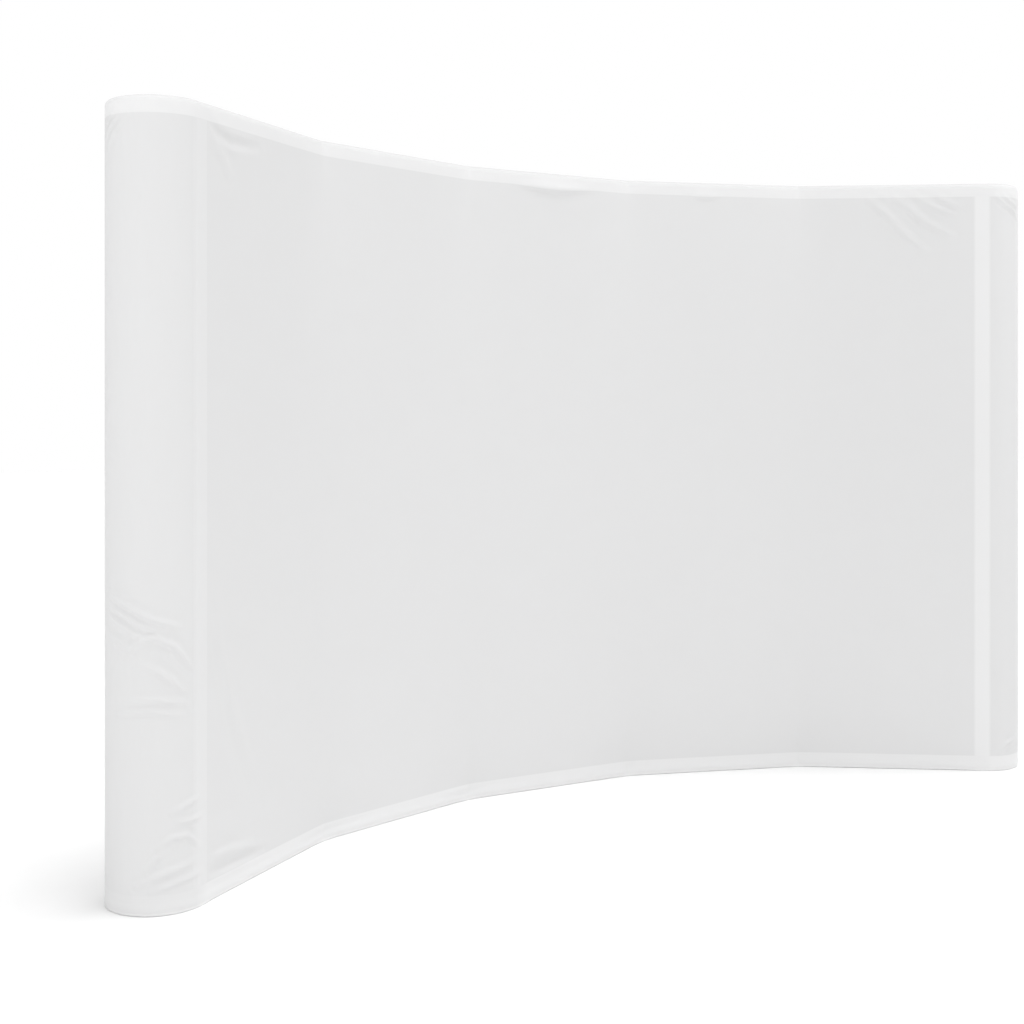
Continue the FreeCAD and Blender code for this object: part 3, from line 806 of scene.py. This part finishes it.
def hem_section(along, out):
    """Plan of a hem: from the edge of the banner once round the upright to its seam inside the banner."""
    layer = cloth_radius - layer_step
    start = [(edge_reach, -cloth_radius)]
    turn = math.pi * cloth_radius
    runs = np.concatenate([np.linspace(hem_start, turn - hole_block, hem_side_cells + 1)[:-1],
                           np.linspace(turn - hole_block, turn + hole_block, hole_cells + 1),
                           np.linspace(turn + hole_block, 2 * turn - hem_stop, hem_side_cells + 1)[1:]])
    angles = runs / cloth_radius
    round_part = [(cloth_radius * math.sin(a), -cloth_radius * math.cos(a)) for a in angles]
    finish = [(-hem_seam, -layer)]
    return np.array([along * x + out * y for x, y in start + round_part + finish])


hem_low, hem_high = bottom_height + hem_gap, top_height - hem_gap
for side, corner, along in (("left", corner_points[0], bay_directions[0]),
                            ("right", corner_points[-1], -bay_directions[-1])):
    back = middle("back_foot_" + side)
    section = hem_section(along, unit(corner - back))
    run = run_lengths(section)
    height = sum(c.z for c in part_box("back_upright_%s_button" % side)) / 2
    middle_run = run[1 + hem_side_cells + hole_cells // 2]
    hem = strip_with_hole("back_hem_" + side, section + back, run,
                          rows_round_hole(hem_low, hem_high, height), middle_run, height)
    hem.data.materials.append(sleeve_cloth)
    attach(hem, "frame")

# Edge zips
# A zip closes each back hem. Its woven tape is sewn to the hem with a row of stitches along each
# side, white plastic teeth are moulded on the tape in two rows that interlock, and a box stop
# ends them at the foot.
tooth_pitch = 0.0029
tooth_height = 0.0013
tooth_reach = 0.00325
tooth_head = (0.75, 1.0, 0.8)
tooth_round = 0.0002
head_facing = 0.9
chain_half = 0.003
chain_inner = 0.0171
chain_outer = 0.0193
chain_low = 0.0831
chain_high = 2.2229
stop_width = 0.009
stop_height = 0.006
stop_round = 0.0006
tape_inner = 0.01678
tape_thickness = 0.00028
tape_half = 0.012
tape_sides = 90
tape_smooth_deg = 30.0
tape_stitch_place = 0.0092
tape_stitch_half = 0.0004
tape_stitch_sink = -2.0
twill_pitch = (0.0009, 0.0007)
twill_shade = 0.18
tape_cloud_scale = 240.0
tape_cloud_range = (0.1, 0.9)
tape_rough = (0.75, 0.90)
tape_relief = (0.4, 0.0001)
tape_dark = (0.66, 0.66, 0.66, 1.0)
tape_light = (0.76, 0.76, 0.76, 1.0)
teeth_dark = (0.74, 0.74, 0.74, 1.0)
teeth_light = (0.82, 0.82, 0.82, 1.0)
teeth_grain_scale = 1800.0


def rounded_block(size, place, rounding, head=None):
    """A moulded block with rounded edges. Its side towards +Y may be drawn in to a smaller head."""
    bpy.ops.mesh.primitive_cube_add(size=1)
    block = bpy.context.object
    bpy.ops.object.mode_set(mode="EDIT")
    bpy.ops.mesh.select_mode(type="FACE")
    bpy.ops.transform.resize(value=size, center_override=(0, 0, 0))
    if head:
        bpy.ops.object.mode_set(mode="OBJECT")
        for face in block.data.polygons:
            face.select = face.normal.y > head_facing
        bpy.ops.object.mode_set(mode="EDIT")
        bpy.ops.transform.resize(value=head, center_override=(0, size[1] / 2, 0))
        bpy.ops.mesh.select_all(action="SELECT")
    bpy.ops.mesh.bevel(offset=rounding, segments=1, affect="EDGES")
    bpy.ops.mesh.select_all(action="SELECT")
    bpy.ops.transform.translate(value=place)
    bpy.ops.object.mode_set(mode="OBJECT")
    return block


def zip_teeth():
    """Two interlocking rows of teeth on their stop, on an upright at the origin that faces +X."""
    depth, middle_x = chain_outer - chain_inner, (chain_inner + chain_outer) / 2
    first = chain_low + stop_height + tooth_height
    teeth = rounded_block((depth, tooth_reach, tooth_height),
                          (middle_x, tooth_reach / 2 - chain_half, first), tooth_round, tooth_head)
    bpy.ops.object.mode_set(mode="EDIT")
    bpy.ops.mesh.select_all(action="SELECT")
    bpy.ops.mesh.duplicate()
    bpy.ops.transform.rotate(value=math.pi, orient_axis="X", center_override=(middle_x, 0, first))
    bpy.ops.transform.translate(value=(0, 0, tooth_pitch / 2))
    bpy.ops.object.mode_set(mode="OBJECT")
    rows = teeth.modifiers.new("rows", "ARRAY")
    rows.count = int((chain_high - first) / tooth_pitch)
    rows.use_relative_offset = False
    rows.use_constant_offset = True
    rows.constant_offset_displace = (0, 0, tooth_pitch)
    bpy.ops.object.modifier_apply(modifier="rows")
    rounded_block((depth, stop_width, stop_height), (middle_x, 0, chain_low + stop_height / 2), stop_round)
    teeth.select_set(True)
    bpy.context.view_layer.objects.active = teeth
    bpy.ops.object.join()
    return teeth


def zip_tape():
    """Woven tape round the front of a hem, on an upright at the origin that faces +X."""
    bpy.ops.mesh.primitive_cylinder_add(vertices=tape_sides, radius=tape_inner, end_fill_type="NOTHING",
                                        depth=chain_high - chain_low,
                                        location=(0, 0, (chain_low + chain_high) / 2))
    tape = bpy.context.object
    bpy.ops.object.transform_apply(location=True)
    for face in tape.data.polygons:
        face.select = abs(math.atan2(face.center.y, face.center.x)) > tape_half / tape_inner
    bpy.ops.object.mode_set(mode="EDIT")
    bpy.ops.mesh.select_mode(type="FACE")
    bpy.ops.mesh.delete(type="FACE")
    bpy.ops.object.mode_set(mode="OBJECT")
    wall = tape.modifiers.new("thickness", "SOLIDIFY")
    wall.thickness = tape_thickness
    wall.offset = 1.0
    bpy.ops.object.modifier_apply(modifier="thickness")
    bpy.ops.object.shade_smooth_by_angle(angle=math.radians(tape_smooth_deg))
    return tape


def at_back_edge(piece, name, back, angle):
    """Puts a piece of a zip on a back upright, turned to its hem."""
    bpy.ops.object.select_all(action="DESELECT")
    piece.name = piece.data.name = name
    piece.location = (back[0], back[1], 0)
    piece.rotation_euler = (0, 0, angle)
    piece.select_set(True)
    bpy.context.view_layer.objects.active = piece
    bpy.ops.object.transform_apply(location=True, rotation=True, scale=True)
    piece.select_set(False)


def woven_tape(name, back, angle):
    """White twill tape with a row of stitches near each edge."""
    material, shader, add, link = start_material(name)
    place = add("ShaderNodeTexCoord").outputs["Object"]
    turned = add("ShaderNodeMapping", {"Vector": place, "Location": (back[0], back[1], 0),
                                       "Rotation": (0, 0, angle)}, vector_type="TEXTURE")
    split = add("ShaderNodeSeparateXYZ", {"Vector": turned.outputs["Vector"]})
    across, up = split.outputs["Y"], split.outputs["Z"]
    phase = math_node(add, "MULTIPLY_ADD", across, 2 * math.pi / twill_pitch[0],
                      math_node(add, "MULTIPLY", up, 2 * math.pi / twill_pitch[1]))
    twill = math_node(add, "SINE", phase)
    row = math_node(add, "COMPARE", math_node(add, "ABSOLUTE", across), tape_stitch_place, tape_stitch_half)
    stitches = math_node(add, "MULTIPLY", stitch_dashes(add, up), row)
    weave = math_node(add, "MULTIPLY_ADD", twill, twill_shade, noise(add, place, tape_cloud_scale))
    # The stitches are painted darker, a painted shade in their holes in the white tape.
    tone = math_node(add, "SUBTRACT", weave, stitches)
    relief = math_node(add, "MULTIPLY_ADD", stitches, tape_stitch_sink, twill)
    link(two_tone(add, tone, tape_dark, tape_light, *tape_cloud_range), "Base Color")
    link(between(add, weave, *tape_rough), "Roughness")
    link(bumps(add, relief, *tape_relief), "Normal")
    return material


first_teeth, first_tape = zip_teeth(), zip_tape()
first_teeth.data.materials.append(moulded_plastic("zip_teeth", teeth_dark, teeth_light, teeth_grain_scale))
for side, along in (("left", bay_directions[0]), ("right", -bay_directions[-1])):
    back = middle("back_foot_" + side)
    teeth, tape = first_teeth, first_tape
    if side == "left":
        teeth, tape = first_teeth.copy(), first_tape.copy()
        for piece in (teeth, tape):
            piece.data = piece.data.copy()
            bpy.context.scene.collection.objects.link(piece)
    angle = math.atan2(along[1], along[0])
    at_back_edge(teeth, "zip_teeth_" + side, back, angle)
    at_back_edge(tape, "zip_tape_" + side, back, angle)
    tape.data.materials.append(woven_tape("zip_tape_" + side, back, angle))
    for piece, slot in ((teeth, "zip_chain"), (tape, "banner_cloth")):
        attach(piece, "frame")
    if side == "left":
        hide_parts("edge_zips")

# Zip sliders and pull tabs
# Die-cast zinc, nickel plated. Each slider straddles the teeth of its zip, and its pull tab hangs
# from a lug on a cross pin.
nickel_dark = (0.60, 0.60, 0.59, 1.0)
nickel_light = (0.78, 0.78, 0.77, 1.0)
nickel_rough = (0.16, 0.30)
dress([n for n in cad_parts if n.startswith("zip_")],
      bright_metal("nickel_plate", nickel_dark, nickel_light, nickel_rough))

# Floor, light and camera
# A plain white studio floor and a white surround under a darker ceiling, with an even overhead light
# and soft boxes at the sides. The camera stands where the photograph was taken from.
floor_reach = 30.0
floor_white = (0.88, 0.88, 0.88, 1.0)
floor_cloud_scale = 3.0
floor_cloud_share = 0.99
floor_rough = 0.9
surround_white = (1.0, 1.0, 1.0, 1.0)
surround_strength = 1.0
ceiling_strength = 0.55
ceiling_rise = (0.30, 0.50)
overhead_strength = 1.75
overhead_from = (0.155, -0.10, 1.0)
overhead_spread_deg = 30.0
front_box = {"place": (-6.0, -7.5, 8.0), "aim": (0.0, 0.0, 1.0), "size": 5.0, "power": 205.0}
left_box = {"place": (-7.0, -0.5, 3.0), "aim": (-1.7, -0.2, 1.1), "size": 3.0, "power": 22.0}
right_box = {"place": (3.0, -1.6, 3.6), "aim": (1.85, 0.1, 1.9), "size": 1.5, "power": 9.0}
photo_size = 1024
camera_place = (-3.140, -4.596, 1.424)
camera_heading_deg = -31.13
focal_pixels = 1560.0
horizon_row = 407.0

bpy.ops.mesh.primitive_plane_add(size=2 * floor_reach, location=(0, 0, 0))
floor = bpy.context.object
floor.name = "studio_floor"
material, shader, add, link = start_material("studio_floor")
place = add("ShaderNodeTexCoord").outputs["Object"]
floor_cloud = tuple(floor_cloud_share * c for c in floor_white)
link(two_tone(add, noise(add, place, floor_cloud_scale), floor_cloud, floor_white), "Base Color")
shader.inputs["Roughness"].default_value = floor_rough
shader.inputs["Specular IOR Level"].default_value = 0.0
floor.data.materials.append(material)


def softbox(name, place, aim, size, power):
    """A square soft light that points at a place on the object and stays out of the picture."""
    light = bpy.data.lights.new(name, "AREA")
    light.shape = "SQUARE"
    light.size = size
    light.energy = power
    lamp = bpy.data.objects.new(name, light)
    bpy.context.scene.collection.objects.link(lamp)
    lamp.visible_camera = False
    lamp.location = place
    lamp.rotation_euler = (Vector(aim) - Vector(place)).to_track_quat("-Z", "Y").to_euler()


softbox("front_softbox", **front_box)
softbox("left_softbox", **left_box)
softbox("right_softbox", **right_box)
overhead_data = bpy.data.lights.new("overhead_light", "SUN")
overhead_data.energy = overhead_strength
overhead_data.angle = math.radians(overhead_spread_deg)
overhead = bpy.data.objects.new("overhead_light", overhead_data)
bpy.context.scene.collection.objects.link(overhead)
overhead.rotation_euler = (-Vector(overhead_from)).to_track_quat("-Z", "Y").to_euler()

world = bpy.data.worlds.new("studio_surround")
world.use_nodes = True
add = node_adder(world.node_tree)
direction = add("ShaderNodeTexCoord").outputs["Generated"]
rise = add("ShaderNodeSeparateXYZ", {"Vector": direction}).outputs["Z"]
strength = add("ShaderNodeMapRange", {"Value": rise, "From Min": ceiling_rise[0],
                                      "From Max": ceiling_rise[1], "To Min": surround_strength,
                                      "To Max": ceiling_strength})
background = world.node_tree.nodes["Background"]
background.inputs["Color"].default_value = surround_white
world.node_tree.links.new(strength.outputs["Result"], background.inputs["Strength"])
bpy.context.scene.world = world
bpy.context.scene.view_settings.view_transform = "Standard"

camera_data = bpy.data.cameras.new("photo_camera")
camera = bpy.data.objects.new("photo_camera", camera_data)
bpy.context.scene.collection.objects.link(camera)
camera.location = camera_place
camera.rotation_euler = (math.radians(90), 0, math.radians(camera_heading_deg))
camera_data.lens = camera_data.sensor_width * focal_pixels / photo_size
camera_data.shift_y = (horizon_row - photo_size / 2) / photo_size
bpy.context.scene.camera = camera
